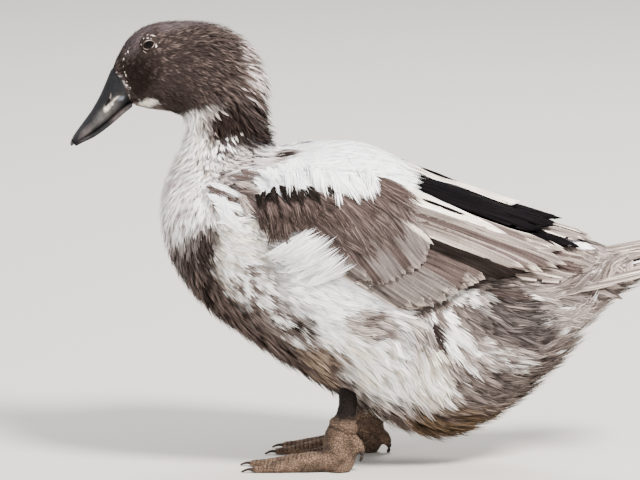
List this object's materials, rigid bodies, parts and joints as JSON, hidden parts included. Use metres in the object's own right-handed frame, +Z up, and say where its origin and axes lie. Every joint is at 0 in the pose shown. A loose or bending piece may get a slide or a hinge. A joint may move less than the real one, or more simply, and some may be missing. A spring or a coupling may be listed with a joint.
{
  "type": "duck",
  "caption": "Life-size still model of a young brown-and-white pied domestic Muscovy-type duck, standing with its bill lowered, wings folded and tail raised a little.",
  "frame": {"origin": "on the floor, under the middle of the bird's bounding box", "axes": "the duck faces -Y with its left side at +X, and +Z is up"},
  "size_m": [0.1698, 0.4364, 0.3042],
  "materials": {
    "plumage_head": "short dark mauve-brown feathers",
    "plumage_neck": "loose white and blackish-brown feathers",
    "plumage_body": "soft grey-brown and white body feathers",
    "plumage_wing": "mauve-brown vanes with pale edges",
    "plumage_tail": "long grey tail vanes with pale shafts",
    "bill_skin": "slate-black bill skin with cream patches",
    "bill_nail": "smooth black horn",
    "eye": "wet dark brown eye",
    "leg_skin": "wrinkled and scaly dark brown skin",
    "claw_horn": "dark horn"
  },
  "bodies": {
    "root": {"bill_lower": "bill_skin", "bill_nail": "bill_nail", "bill_upper": "bill_skin", "claw_left_hind": "claw_horn", "claw_left_inner": "claw_horn", "claw_left_middle": "claw_horn", "claw_left_outer": "claw_horn", "claw_right_hind": "claw_horn", "claw_right_inner": "claw_horn", "claw_right_middle": "claw_horn", "claw_right_outer": "claw_horn", "eye_left": "eye", "eye_right": "eye", "foot_left": "leg_skin", "foot_right": "leg_skin", "head": "plumage_head", "leg_left": "leg_skin", "leg_right": "leg_skin", "neck": "plumage_neck", "tail": "plumage_tail", "trunk": "plumage_body", "wing_left": "plumage_wing", "wing_right": "plumage_wing"}
  },
  "joints": []
}
